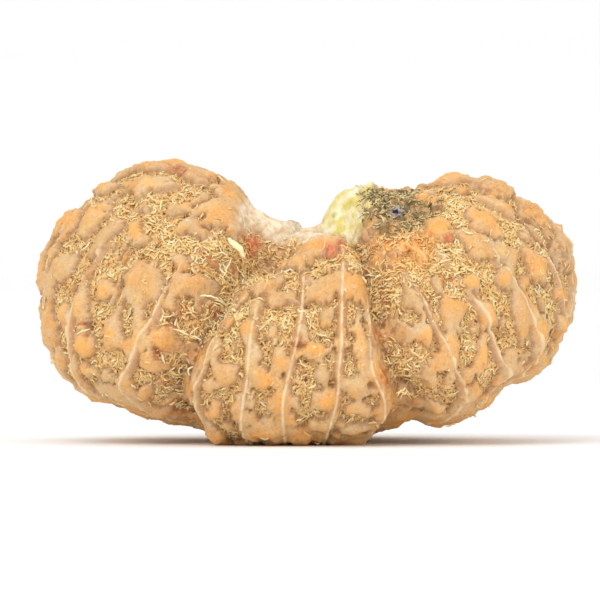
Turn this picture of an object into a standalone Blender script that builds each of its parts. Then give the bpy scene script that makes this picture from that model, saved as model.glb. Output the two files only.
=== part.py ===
"""A large rudraksha bead: the ribbed and knobbly stone of one fruit, resting on its underside.

The body is a wide rounded form with a notch at its top, where the stem was. Seams run like meridians from
the top pole to the bottom pole, two deep grooves part the front into three lobes, and tubercles cover the
faces between the seams. Lengths are in metres, with +Z up and the front facing -Y.
"""

import math

import bpy
import numpy as np

MM = 0.001

# Overall size, over the tops of the tubercles
WIDTH = 40.0 * MM
DEPTH = 27.0 * MM
HEIGHT = 20.85 * MM
HALF_WIDTH = WIDTH / 2
HALF_DEPTH = DEPTH / 2

# Height of the widest line round the bead, at the middle of the front and at its two ends
WAIST_MIDDLE = 5.6 * MM
WAIST_END = 11.2 * MM
WAIST_BEND = 5.0

# Upper edge seen from the front, as distance right of the middle and height, in millimetres
CREST = (
    (-20.0, 12.4),
    (-18.4, 16.1),
    (-15.4, 18.8),
    (-11.8, 20.7),
    (-8.6, 20.3),
    (-6.6, 19.9),
    (-4.6, 18.4),
    (-3.0, 16.9),
    (-0.6, 16.4),
    (0.7, 16.7),
    (2.2, 18.3),
    (3.8, 19.1),
    (7.6, 18.8),
    (11.6, 19.6),
    (14.6, 19.0),
    (17.0, 17.4),
    (18.6, 15.8),
    (20.0, 12.6),
)

# Lower edge seen from the front, in the same way
KEEL = (
    (-20.0, 9.8),
    (-18.4, 5.5),
    (-16.6, 3.5),
    (-13.4, 2.4),
    (-10.4, 1.4),
    (-8.6, 1.1),
    (-7.0, -0.2),
    (-3.0, -0.2),
    (-0.6, -0.1),
    (2.8, -0.2),
    (5.0, 0.2),
    (7.6, 1.5),
    (9.6, 1.3),
    (12.4, 2.3),
    (15.2, 4.2),
    (18.0, 6.2),
    (20.0, 10.2),
)

# How the front and back fall away from the crest and the keel
CREST_POWER = 1.75
CREST_ROOT = 0.60
KEEL_POWER = 3.2
KEEL_ROOT = 0.42
END_POWER = 3.0

# Hollows at the two poles
TOP_PIT = 0.3 * MM
TOP_PIT_SPREAD = 1.2 * MM
BOTTOM_DIMPLE = 2.2 * MM
BOTTOM_DIMPLE_SPREAD = (8.0 * MM, 5.0 * MM)

# Seams as their place at the waist, in degrees from the right end by way of the front, and how far they have
# turned from it at the top pole and at the bottom pole
SEAMS = (
    (17.2, 15.0, -12.0),
    (34.2, 14.0, -17.0),
    (46.4, 14.0, -24.0),
    (58.3, 12.0, -24.0),
    (76.3, -4.0, -14.0),
    (84.4, -9.0, 0.0),
    (93.5, -4.0, 8.0),
    (103.0, -5.0, 9.0),
    (112.6, -8.0, 19.0),
    (130.5, -20.0, 25.0),
    (151.0, -9.0, 12.0),
    (170.0, 0.0, 8.0),
    (188.0, 4.0, 2.0),
    (207.0, 6.0, -6.0),
    (224.0, 10.0, -12.0),
    (240.0, 7.0, -14.0),
    (254.0, 3.0, -8.0),
    (267.0, 0.0, 0.0),
    (280.0, -4.0, 6.0),
    (294.0, -7.0, 12.0),
    (309.0, -8.0, 14.0),
    (325.0, -7.0, 12.0),
    (342.0, -3.0, 6.0),
    (359.0, 5.0, 0.0),
)
SEAM_WANDER = 0.6
SEAM_WAVES = 2.5

# A thin raised line along each seam, on a smooth band
SEAM_HEIGHT = 0.28 * MM
SEAM_WIDTH = 0.16 * MM
BAND_HEIGHT = 0.40 * MM
BAND_WIDTH = 0.60 * MM
BAND_EDGE_POWER = 4

# Grooves between lobes as place at the waist, turns to the top and bottom poles, depth and half width
GROOVES = (
    (71.0, 0.0, -19.0, 1.7 * MM, 1.2 * MM),
    (119.0, -19.0, 22.0, 1.9 * MM, 1.3 * MM),
    (197.0, 6.0, -3.0, 1.1 * MM, 1.4 * MM),
    (247.0, 5.0, -10.0, 1.6 * MM, 1.3 * MM),
    (301.0, -7.0, 12.0, 1.4 * MM, 1.4 * MM),
    (8.0, 8.0, -6.0, 0.7 * MM, 1.2 * MM),
)
GROOVE_SHOULDER = 2.8
SHOULDER_SHARE = 0.40
GROOVE_CALM = 0.45
GROOVE_ENDS = (0.45, 0.95)

# Tubercles seen from the front: across, up, half width, half height and tilt, in millimetres and degrees
LEFT_TUBERCLES = (
    (-11.8, 20.3, 1.9, 0.6, 0),
    (-11.7, 18.9, 1.5, 0.8, 0),
    (-15.1, 18.6, 0.9, 0.6, 20),
    (-17.5, 16.2, 0.7, 0.9, 0),
    (-19.6, 11.7, 0.5, 0.8, 0),
    (-15.0, 15.0, 1.8, 0.5, 42),
    (-12.6, 15.1, 0.8, 1.1, 0),
    (-14.8, 11.2, 0.7, 0.7, 0),
    (-12.0, 11.8, 1.7, 1.5, 0),
    (-16.6, 10.1, 0.7, 1.1, 0),
    (-18.0, 9.4, 0.5, 1.0, 0),
    (-18.2, 6.1, 0.5, 0.8, 0),
    (-16.4, 7.3, 0.9, 1.0, 0),
    (-16.1, 5.4, 0.8, 0.6, 0),
    (-14.5, 7.9, 0.8, 1.0, 0),
    (-12.6, 7.6, 0.5, 0.7, 0),
    (-11.8, 5.8, 0.6, 0.9, 0),
    (-12.3, 3.3, 0.5, 1.0, 0),
    (-13.6, 4.5, 0.6, 0.9, 0),
    (-11.0, 1.9, 0.8, 0.6, 0),
    (-10.9, 7.9, 1.0, 1.0, 0),
    (-8.5, 11.9, 1.2, 0.8, 0),
    (-6.4, 17.0, 2.0, 1.3, 0),
    (-9.9, 17.1, 0.7, 0.6, 0),
    (-8.5, 15.8, 0.7, 0.6, 0),
    (-9.3, 13.4, 0.5, 0.6, 0),
    (-5.4, 14.2, 0.8, 0.9, 0),
)
MIDDLE_TUBERCLES = (
    (-1.8, 14.0, 0.6, 0.8, 0),
    (-0.6, 13.6, 0.6, 0.9, 0),
    (-3.2, 11.8, 1.2, 0.8, 0),
    (-2.1, 10.7, 0.5, 0.6, 0),
    (-3.9, 10.3, 0.5, 0.5, 0),
    (-4.5, 8.6, 0.6, 0.7, 0),
    (1.2, 9.4, 0.6, 0.6, 0),
    (3.8, 7.5, 0.6, 1.4, -12),
    (0.6, 7.0, 1.0, 0.6, 0),
    (-1.9, 6.0, 0.5, 0.8, 0),
    (-1.9, 3.3, 0.5, 1.1, 0),
    (-5.9, 5.1, 1.1, 0.6, 30),
    (-6.7, 2.4, 0.6, 0.9, 0),
    (-5.1, 2.8, 0.5, 1.4, 0),
    (-7.0, 0.6, 0.8, 0.6, 0),
    (1.2, 5.1, 0.5, 0.6, 0),
    (1.1, 3.6, 0.8, 0.6, 0),
    (3.3, 4.3, 1.0, 0.6, 0),
    (3.9, 2.7, 0.6, 0.6, 0),
    (1.2, 1.5, 0.6, 0.6, 0),
    (3.6, 1.1, 0.8, 0.6, 0),
    (-3.2, 5.0, 0.7, 0.7, 0),
)
RIGHT_TUBERCLES = (
    (11.5, 18.9, 1.1, 0.7, 0),
    (13.3, 18.0, 0.9, 0.5, -15),
    (15.0, 17.2, 0.9, 0.6, -30),
    (17.4, 15.7, 1.0, 0.9, 0),
    (12.0, 11.9, 0.9, 0.7, 45),
    (14.8, 13.3, 0.5, 0.8, 0),
    (16.7, 13.1, 0.9, 1.1, 0),
    (19.4, 12.3, 0.5, 0.8, 0),
    (14.2, 12.0, 0.6, 0.5, 0),
    (18.4, 10.8, 0.5, 0.6, 0),
    (8.6, 8.1, 0.5, 0.6, 0),
    (7.6, 10.7, 0.5, 0.8, 0),
    (10.4, 10.0, 1.1, 1.0, 0),
    (10.4, 7.5, 0.5, 1.3, 0),
    (9.2, 4.4, 0.6, 1.0, 0),
    (9.2, 2.4, 0.7, 1.0, 0),
    (12.5, 6.6, 0.5, 1.5, 0),
    (13.1, 9.3, 0.6, 0.7, 0),
    (15.5, 9.2, 0.6, 1.4, -8),
    (17.0, 8.4, 0.6, 1.5, -5),
    (18.6, 8.7, 0.4, 1.3, 0),
    (14.7, 5.4, 0.6, 0.9, 0),
    (17.2, 6.2, 0.6, 0.6, 0),
    (11.5, 3.2, 0.5, 0.8, 0),
)
HAND_HEIGHT = 1.0 * MM
SMALLEST_HALF = 1.05 * MM

# The lowest tubercles, which the bead stands on: across and back, in millimetres
FEET = ((-6.9, -6.0), (3.1, -6.2), (3.4, 5.8), (-6.2, 6.0))
FOOT_RADIUS = 1.9 * MM
FOOT_HEIGHT = 1.5 * MM
FOOT_WEAR = 0.35 * MM
UNDERSIDE = 3.0 * MM

# Tubercles that fill the rest, mostly longer down the bead than across it
SEED = 21
DARTS = 9000
SPACING = 2.30 * MM
DOWNWARD_SHARE = 0.85
SKEW = 0.45
SEAM_MARGIN = 0.75 * MM
LONG_RANGE = (1.35 * MM, 1.90 * MM)
ACROSS_RANGE = (1.15 * MM, 1.40 * MM)
RISE_RANGE = (0.95 * MM, 1.20 * MM)

# Tubercles lean out from the heart of the bead, have uneven outlines, and merge where they meet
HEART = np.array((0.0, 0.0, 8.5 * MM))
OUTWARD_LEAN = 0.6
RIPPLE_SIZE = 1.6 * MM
RIPPLE = 0.12 * MM
MERGE = 0.20 * MM
DOME_ROOT = 0.6
CREVICE_DEPTH = 0.75 * MM
POLE_FADE = 0.35

# Mesh, with the relief taken as a mean over a patch round each of its points
RINGS_ABOVE = 25
RINGS_BELOW = 22
COLUMN_GAP = 0.76 * MM
COARSE_WITHIN = 0.36
BESIDE_SEAM = 0.42 * MM
PATCH = 0.42 * MM
PATCH_POINTS = 8
MIDDLE_WEIGHT = 2
SOFT_GAIN = 1.25
SHARP_ANGLE = 70.0

# Small steps that directions on the surface are measured over
STEP = 0.004
FRONT_STEP = 0.05 * MM


def curve_through(points, x):
    """A smooth curve through points, read at each x."""
    at, value = np.asarray(points, float).T
    slope = np.gradient(value, at)
    k = np.clip(np.searchsorted(at, x) - 1, 0, len(at) - 2)
    span = at[k + 1] - at[k]
    s = np.clip((x - at[k]) / span, 0.0, 1.0)
    ends = value[k] * (2 * s**3 - 3 * s**2 + 1) + value[k + 1] * (3 * s**2 - 2 * s**3)
    lean = slope[k] * (s**3 - 2 * s**2 + s) + slope[k + 1] * (s**3 - s**2)
    return ends + lean * span


def waist(x):
    """Height of the widest line round the bead."""
    return WAIST_MIDDLE + (WAIST_END - WAIST_MIDDLE) * np.abs(x / HALF_WIDTH) ** WAIST_BEND


def end_rounding(x):
    return np.sqrt(np.clip(1.0 - np.abs(x / HALF_WIDTH) ** END_POWER, 0.0, 1.0))


def reach_of(edge):
    """How far an edge seen from the front stands off the waist, without its rounding at the two ends."""
    x = MM * np.array([point[0] for point in edge])
    z = MM * np.array([point[1] for point in edge])
    inner = slice(1, -1)
    reach = np.abs(z[inner] - waist(x[inner])) / end_rounding(x[inner])
    return list(zip(x, np.concatenate([reach[:1], reach, reach[-1:]])))


CREST_REACH = reach_of(CREST)
KEEL_REACH = reach_of(KEEL)


def crest_fall(v):
    """Share of the height above the waist that is left at a share v of the depth."""
    return np.clip(1.0 - v**CREST_POWER, 0.0, 1.0) ** CREST_ROOT


def crest_fall_back(share):
    """The share of the depth at which crest_fall gives share."""
    return (1.0 - np.clip(share, 0.0, 1.0) ** (1.0 / CREST_ROOT)) ** (1.0 / CREST_POWER)


def keel_fall(v):
    return np.clip(1.0 - v**KEEL_POWER, 0.0, 1.0) ** KEEL_ROOT


def keel_fall_back(share):
    return (1.0 - np.clip(share, 0.0, 1.0) ** (1.0 / KEEL_ROOT)) ** (1.0 / KEEL_POWER)


def body(turn, fall):
    """Points of the smooth body. Turn is in radians, and fall runs from 0 at the top pole to 1 at the bottom."""
    out = np.sin(math.pi * np.clip(fall, 0.0, 1.0))
    x = HALF_WIDTH * out * np.cos(turn)
    y = -HALF_DEPTH * out * np.sin(turn)
    half_chord = np.sqrt(np.maximum(1.0 - (x / HALF_WIDTH) ** 2, 1e-12))
    v = np.clip(np.abs(y / HALF_DEPTH) / half_chord, 0.0, 1.0)
    level = waist(x)
    above = level + curve_through(CREST_REACH, x) * end_rounding(x) * crest_fall(v)
    below = level - curve_through(KEEL_REACH, x) * end_rounding(x) * keel_fall(v)
    pit = TOP_PIT * np.exp(-(x**2 + y**2) / TOP_PIT_SPREAD**2)
    wide, deep = BOTTOM_DIMPLE_SPREAD
    dimple = BOTTOM_DIMPLE * np.exp(-((x / wide) ** 2) - (y / deep) ** 2)
    z = np.where(fall < 0.5, above - pit, below + dimple)
    return np.stack([x, y, z], axis=-1)


def front_point(x, z):
    """The point of the smooth body that is seen from the front at x and z."""
    level = waist(x)
    room = end_rounding(x)
    above = crest_fall_back((z - level) / (curve_through(CREST_REACH, x) * room))
    below = keel_fall_back((level - z) / (curve_through(KEEL_REACH, x) * room))
    v = np.where(z > level, above, below)
    y = -HALF_DEPTH * v * np.sqrt(1.0 - (x / HALF_WIDTH) ** 2)
    return np.stack([x, y, z], axis=-1)


def unit(vectors):
    return vectors / np.maximum(np.linalg.norm(vectors, axis=-1, keepdims=True), 1e-15)


def outward(turn, fall):
    """Directions that the relief is raised in: the body's normal, leaning away from its heart."""
    inner = np.clip(fall, 2 * STEP, 1.0 - 2 * STEP)
    round_way = body(turn + STEP, inner) - body(turn - STEP, inner)
    down_way = body(turn, inner + STEP) - body(turn, inner - STEP)
    normal = unit(np.cross(round_way, down_way))
    away = unit(body(turn, fall) - HEART)
    normal *= np.where((normal * away).sum(axis=-1, keepdims=True) < 0.0, -1.0, 1.0)
    return unit(normal + OUTWARD_LEAN * away)


def meridian_at(turn, fall):
    """Unit directions that run down the body from the top pole."""
    return unit(body(turn, np.clip(fall + STEP, 0.0, 1.0)) - body(turn, np.clip(fall - STEP, 0.0, 1.0)))


def course(place, above, below, fall):
    """Where a seam or groove runs, in radians, at a height given by fall."""
    wander = SEAM_WANDER * np.sin(2 * math.pi * SEAM_WAVES * fall + place)
    upper = np.maximum(1.0 - 2.0 * fall, 0.0)
    lower = np.maximum(2.0 * fall - 1.0, 0.0)
    return np.radians(place + above * upper + below * lower + wander)


def offset_from(turn, fall, place, above, below):
    """Distance along the surface, round the bead, from a seam or groove."""
    out = np.sin(math.pi * fall)
    apart = turn - course(place, above, below, fall)
    apart = (apart + math.pi) % (2 * math.pi) - math.pi
    return apart * out * np.hypot(HALF_WIDTH * np.sin(turn), HALF_DEPTH * np.cos(turn))


def seam_gap(turn, fall):
    """Distance from the nearest seam."""
    return np.min([np.abs(offset_from(turn, fall, *seam)) for seam in SEAMS], axis=0)


def ripple(points, size, amount):
    """A slow wander that makes round outlines uneven."""
    x, y, z = (points[..., k] / size for k in range(3))
    return amount * np.stack(
        [
            np.sin(1.7 * y + 0.6 * z) + np.sin(2.9 * z - 1.1 * x),
            np.sin(1.9 * z + 0.8 * x) + np.sin(2.6 * x - 1.3 * y),
            np.sin(2.1 * x + 0.7 * y) + np.sin(2.7 * y - 0.9 * z),
        ],
        axis=-1,
    )


def hand_tubercles():
    """The tubercles that the front shows, as centres, long directions, half sizes and heights."""
    rows = np.array(LEFT_TUBERCLES + MIDDLE_TUBERCLES + RIGHT_TUBERCLES, float)
    x, z, half_x, half_z = MM * rows[:, :4].T
    tilt = np.radians(rows[:, 4:])
    centre = front_point(x, z)
    beyond = np.clip(x + FRONT_STEP, None, HALF_WIDTH - FRONT_STEP)
    across = unit(front_point(beyond, z) - front_point(x - FRONT_STEP, z))
    up = unit(front_point(x, z + FRONT_STEP) - front_point(x, z - FRONT_STEP))
    tall = (half_z > half_x)[:, None]
    along = np.where(tall, up, across)
    other = np.where(tall, across, up)
    along = unit(along * np.cos(tilt) + other * np.sin(tilt))
    long_half = np.maximum(np.maximum(half_x, half_z), SMALLEST_HALF)
    short_half = np.maximum(np.minimum(half_x, half_z), SMALLEST_HALF)
    return centre, along, long_half, short_half, np.full(len(x), HAND_HEIGHT)


def foot_tubercles():
    x, y = (MM * np.array(FEET, float)).T
    turn = np.arctan2(-y / HALF_DEPTH, x / HALF_WIDTH)
    out = np.hypot(x / HALF_WIDTH, y / HALF_DEPTH)
    centre = body(turn, 1.0 - np.arcsin(out) / math.pi)
    along = np.tile((1.0, 0.0, 0.0), (len(x), 1))
    radius = np.full(len(x), FOOT_RADIUS)
    return centre, along, radius, radius, np.full(len(x), FOOT_HEIGHT)


def filling_tubercles(taken):
    """Seeded tubercles in the places that no other one takes, each between two seams."""
    draw = np.random.default_rng(SEED)
    turn = draw.uniform(0.0, 2 * math.pi, DARTS)
    fall = np.arccos(draw.uniform(-1.0, 1.0, DARTS)) / math.pi
    clear = seam_gap(turn, fall) > SEAM_MARGIN
    centre = body(turn, fall)
    meridian = meridian_at(turn, fall)
    parallel = np.cross(outward(turn, fall), meridian)
    skew = draw.normal(0.0, SKEW, DARTS)[:, None]
    along = meridian * np.cos(skew) + parallel * np.sin(skew)
    long_half = draw.uniform(*LONG_RANGE, DARTS)
    short_half = draw.uniform(*ACROSS_RANGE, DARTS)
    rise = draw.uniform(*RISE_RANGE, DARTS)
    kept = []
    places = list(taken)
    for k in np.flatnonzero(clear):
        apart = np.array(places) - centre[k]
        down = apart @ meridian[k]
        gaps = (apart**2).sum(axis=1) - (1.0 - DOWNWARD_SHARE**2) * down**2
        if gaps.min() > SPACING**2:
            places.append(centre[k])
            kept.append(k)
    return centre[kept], along[kept], long_half[kept], short_half[kept], rise[kept]


def all_tubercles():
    hand = hand_tubercles()
    feet = foot_tubercles()
    taken = np.concatenate([hand[0], feet[0]])
    sets = (hand, feet, filling_tubercles(taken))
    return [np.concatenate(column) for column in zip(*sets)]


def merged(first, second):
    """The higher of two heights, rounded where they are nearly the same and both raised."""
    close = np.maximum(MERGE - np.abs(first - second), 0.0)
    raised = np.clip(np.minimum(first, second) / MERGE, 0.0, 1.0)
    return np.maximum(first, second) + raised * close**2 / (4 * MERGE)


def tubercle_relief(points, tubercles):
    """Height of the tubercles over their crevices."""
    wandering = points + ripple(points, RIPPLE_SIZE, RIPPLE)
    relief = np.zeros(len(points))
    for centre, along, long_half, short_half, rise in zip(*tubercles):
        near = np.flatnonzero(np.abs(wandering - centre).max(axis=1) < long_half)
        apart = wandering[near] - centre
        length = apart @ along
        rest = np.maximum((apart**2).sum(axis=1) - length**2, 0.0)
        share = (length / long_half) ** 2 + rest / short_half**2
        relief[near] = merged(relief[near], rise * np.clip(1.0 - share, 0.0, 1.0) ** DOME_ROOT)
    return relief


def softened_relief(points, across, down, tubercles):
    """Relief as a mean over the patch round each point, so that a coarse mesh shows whole tubercles."""
    total = MIDDLE_WEIGHT * tubercle_relief(points, tubercles)
    for k in range(PATCH_POINTS):
        angle = 2 * math.pi * k / PATCH_POINTS
        step = PATCH * (math.cos(angle) * across + math.sin(angle) * down)
        total += tubercle_relief(points + step, tubercles)
    return SOFT_GAIN * total / (PATCH_POINTS + MIDDLE_WEIGHT)


def surface(turn, fall, tubercles):
    """Points of the finished surface."""
    points = body(turn, fall)
    out = np.sin(math.pi * fall)
    fade = np.clip(out / POLE_FADE, 0.0, 1.0)
    raised = outward(turn, fall)
    down = meridian_at(turn, fall)
    relief = softened_relief(points, np.cross(raised, down), down, tubercles)
    gap = seam_gap(turn, fall)
    relief = merged(relief, BAND_HEIGHT / (1.0 + (gap / BAND_WIDTH) ** BAND_EDGE_POWER))
    relief += fade * SEAM_HEIGHT * np.exp(-((gap / SEAM_WIDTH) ** 2))
    reach = np.clip(out / np.where(fall < 0.5, *GROOVE_ENDS), 0.0, 1.0) ** 2
    cuts = np.zeros(len(points))
    calm = np.zeros(len(points))
    for *line, depth, half in GROOVES:
        away = offset_from(turn, fall, *line)
        cut = np.exp(-((away / half) ** 2))
        cuts += depth * (cut + SHOULDER_SHARE * np.exp(-((away / (GROOVE_SHOULDER * half)) ** 2)))
        calm = np.maximum(calm, cut)
    relief = relief * (1.0 - GROOVE_CALM * reach * calm) - CREVICE_DEPTH - reach * cuts
    return points + raised * relief[:, None]


def faces_on(fall):
    """The seams on one ring in radians, the turn from each to the next, and that face's width."""
    lines = np.array([float(course(*seam, fall)) for seam in SEAMS])
    spans = np.diff(np.append(lines, lines[0] + 2 * math.pi))
    middle = lines + spans / 2
    out = math.sin(math.pi * fall)
    return lines, spans, spans * out * np.hypot(HALF_WIDTH * np.sin(middle), HALF_DEPTH * np.cos(middle))


PAIRS_OF_COLUMNS = [max(2, round(width / (2 * COLUMN_GAP))) for width in faces_on(0.5)[2]]


def columns_at(fall):
    """Where a ring's columns stand: on each seam, close on both sides of it, and evenly between."""
    columns_per_pair = 2 if math.sin(math.pi * fall) > COARSE_WITHIN else 1
    turns = []
    for line, span, width, pairs in zip(*faces_on(fall), PAIRS_OF_COLUMNS):
        count = columns_per_pair * pairs
        beside = min(BESIDE_SEAM / width, 1.0 / count)
        turns.extend(line + span * np.append(0.0, np.linspace(beside, 1.0 - beside, count - 1)))
    return np.array(turns)


def build_mesh():
    tubercles = all_tubercles()
    falls = np.concatenate(
        [
            np.linspace(0.0, 0.5, RINGS_ABOVE, endpoint=False)[1:],
            np.linspace(0.5, 1.0, RINGS_BELOW, endpoint=False),
        ]
    )
    rings = []
    turns = [np.zeros(1)]
    levels = [np.zeros(1)]
    count = 1
    for fall in falls:
        ring = columns_at(fall)
        turns.append(ring)
        levels.append(np.full(len(ring), fall))
        rings.append(range(count, count + len(ring)))
        count += len(ring)
    turns.append(np.zeros(1))
    levels.append(np.ones(1))
    points = surface(np.concatenate(turns), np.concatenate(levels), tubercles)
    return settled(points), faces_between(rings, count)


def faces_between(rings, last):
    """Faces from the top pole, through the rings, to the bottom pole."""
    faces = []
    first = rings[0]
    for k in range(len(first)):
        faces.append((0, first[(k + 1) % len(first)], first[k]))
    for upper, lower in zip(rings, rings[1:]):
        n, m = len(upper), len(lower)
        for k in range(min(n, m)):
            following = (k + 1) % min(n, m)
            if n == m:
                faces.append((upper[k], upper[following], lower[following], lower[k]))
            elif n < m:
                between = lower[2 * k + 1]
                faces.append((upper[k], between, lower[2 * k]))
                faces.append((upper[k], upper[following], between))
                faces.append((upper[following], lower[2 * following], between))
            else:
                between = upper[2 * k + 1]
                faces.append((lower[k], upper[2 * k], between))
                faces.append((lower[k], between, lower[following]))
                faces.append((lower[following], between, upper[2 * following]))
    end = rings[-1]
    for k in range(len(end)):
        faces.append((last, end[k], end[(k + 1) % len(end)]))
    return faces


def settled(points):
    """Stands the bead on its worn feet and brings it to its overall size, with its middle on the axis."""
    x, y = points[:, 0], points[:, 1]
    under = points[:, 2] < UNDERSIDE
    lowest = []
    for foot in FEET:
        near = under & (np.hypot(x - foot[0] * MM, y - foot[1] * MM) < FOOT_RADIUS)
        lowest.append(points[near, 2].min())
    points[:, 2] = np.maximum(points[:, 2] - max(lowest) - FOOT_WEAR, 0.0)
    low, high = points.min(axis=0), points.max(axis=0)
    middle = np.array(((low[0] + high[0]) / 2, (low[1] + high[1]) / 2, 0.0))
    return (points - middle) * np.array((WIDTH, DEPTH, HEIGHT)) / (high - low)


def shell_material():
    material = bpy.data.materials.new("bead_shell")
    material.use_nodes = True
    shader = material.node_tree.nodes["Principled BSDF"]
    shader.inputs["Base Color"].default_value = (0.62, 0.37, 0.17, 1.0)
    shader.inputs["Roughness"].default_value = 0.5
    shader.inputs["Metallic"].default_value = 0.0
    return material


def main():
    for obj in list(bpy.data.objects):
        bpy.data.objects.remove(obj)
    points, faces = build_mesh()
    mesh = bpy.data.meshes.new("bead")
    mesh.from_pydata(points.tolist(), [], faces)
    mesh.validate()
    mesh.shade_smooth()
    mesh.set_sharp_from_angle(angle=math.radians(SHARP_ANGLE))
    mesh.materials.append(shell_material())
    bead = bpy.data.objects.new("bead", mesh)
    bpy.context.scene.collection.objects.link(bead)


main()
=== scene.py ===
"""The look of the rudraksha bead: its fine skin, the fibres in its crevices, and a plain studio round it.

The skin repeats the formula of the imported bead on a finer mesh, and adds small tubercles, pits and stains.
Lengths are in metres, with +Z up and the front facing -Y.
"""

import math

import bpy
import numpy as np
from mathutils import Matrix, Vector, kdtree, noise


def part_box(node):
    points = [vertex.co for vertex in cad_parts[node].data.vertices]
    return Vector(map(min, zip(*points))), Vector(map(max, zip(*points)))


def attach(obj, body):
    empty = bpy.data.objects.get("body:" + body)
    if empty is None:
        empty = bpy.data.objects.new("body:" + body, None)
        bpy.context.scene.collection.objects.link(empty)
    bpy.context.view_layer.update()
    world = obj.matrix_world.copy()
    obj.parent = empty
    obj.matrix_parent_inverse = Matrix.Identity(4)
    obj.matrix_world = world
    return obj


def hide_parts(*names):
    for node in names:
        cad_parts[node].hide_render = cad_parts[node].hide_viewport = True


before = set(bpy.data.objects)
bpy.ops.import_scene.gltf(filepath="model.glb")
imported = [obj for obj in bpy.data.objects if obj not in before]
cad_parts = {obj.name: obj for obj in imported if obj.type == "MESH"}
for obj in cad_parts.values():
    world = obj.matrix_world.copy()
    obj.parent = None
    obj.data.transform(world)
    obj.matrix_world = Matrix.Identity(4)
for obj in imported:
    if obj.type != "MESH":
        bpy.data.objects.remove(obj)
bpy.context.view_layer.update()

MM = 0.001

# Overall size, over the tops of the tubercles
BOX_LOW, BOX_HIGH = (np.array(corner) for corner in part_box("bead"))
WIDTH, DEPTH, _ = BOX_HIGH - BOX_LOW
HALF_WIDTH = WIDTH / 2
HALF_DEPTH = DEPTH / 2

# Height of the widest line round the bead, at the middle of the front and at its two ends
WAIST_MIDDLE = 5.6 * MM
WAIST_END = 11.2 * MM
WAIST_BEND = 5.0

# Upper edge seen from the front, as distance right of the middle and height, in millimetres
CREST = (
    (-20.0, 12.4), (-18.4, 16.1), (-15.4, 18.8), (-11.8, 20.7), (-8.6, 20.3), (-6.6, 19.9),
    (-4.6, 18.4), (-3.0, 16.9), (-0.6, 16.4), (0.7, 16.7), (2.2, 18.3), (3.8, 19.1),
    (7.6, 18.8), (11.6, 19.6), (14.6, 19.0), (17.0, 17.4), (18.6, 15.8), (20.0, 12.6),
)

# Lower edge seen from the front, in the same way
KEEL = (
    (-20.0, 9.8), (-18.4, 5.5), (-16.6, 3.5), (-13.4, 2.4), (-10.4, 1.4), (-8.6, 1.1),
    (-7.0, -0.2), (-3.0, -0.2), (-0.6, -0.1), (2.8, -0.2), (5.0, 0.2), (7.6, 1.5),
    (9.6, 1.3), (12.4, 2.3), (15.2, 4.2), (18.0, 6.2), (20.0, 10.2),
)

# How the front and back fall away from the crest and the keel, as power and root
CREST_FALL = (1.75, 0.60)
KEEL_FALL = (3.2, 0.42)
END_POWER = 3.0

# Hollows at the two poles
TOP_PIT = 0.3 * MM
TOP_PIT_SPREAD = 1.2 * MM
BOTTOM_DIMPLE = 2.2 * MM
BOTTOM_DIMPLE_SPREAD = (8.0 * MM, 5.0 * MM)

# Seams as their place at the waist, in degrees from the right end by way of the front, and how far they have
# turned from it at the top pole and at the bottom pole
SEAMS = (
    (17.2, 15, -12), (34.2, 14, -17), (46.4, 14, -24), (58.3, 12, -24),
    (76.3, -4, -14), (84.4, -9, 0), (93.5, -4, 8), (103, -5, 9),
    (112.6, -8, 19), (130.5, -20, 25), (151, -9, 12), (170, 0, 8),
    (188, 4, 2), (207, 6, -6), (224, 10, -12), (240, 7, -14),
    (254, 3, -8), (267, 0, 0), (280, -4, 6), (294, -7, 12),
    (309, -8, 14), (325, -7, 12), (342, -3, 6), (359, 5, 0),
)
SEAM_WANDER = 0.6
SEAM_WAVES = 2.5

# Grooves between lobes as place at the waist, turns to the top and bottom poles, depth and half width
GROOVES = (
    (71, 0, -19, 1.7 * MM, 1.2 * MM),
    (119, -19, 22, 1.9 * MM, 1.3 * MM),
    (197, 6, -3, 1.1 * MM, 1.4 * MM),
    (247, 5, -10, 1.6 * MM, 1.3 * MM),
    (301, -7, 12, 1.4 * MM, 1.4 * MM),
    (8, 8, -6, 0.7 * MM, 1.2 * MM),
)
GROOVE_SHOULDER = 2.8
SHOULDER_SHARE = 0.40
GROOVE_CALM = 0.45
GROOVE_ENDS = (0.45, 0.95)

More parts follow.
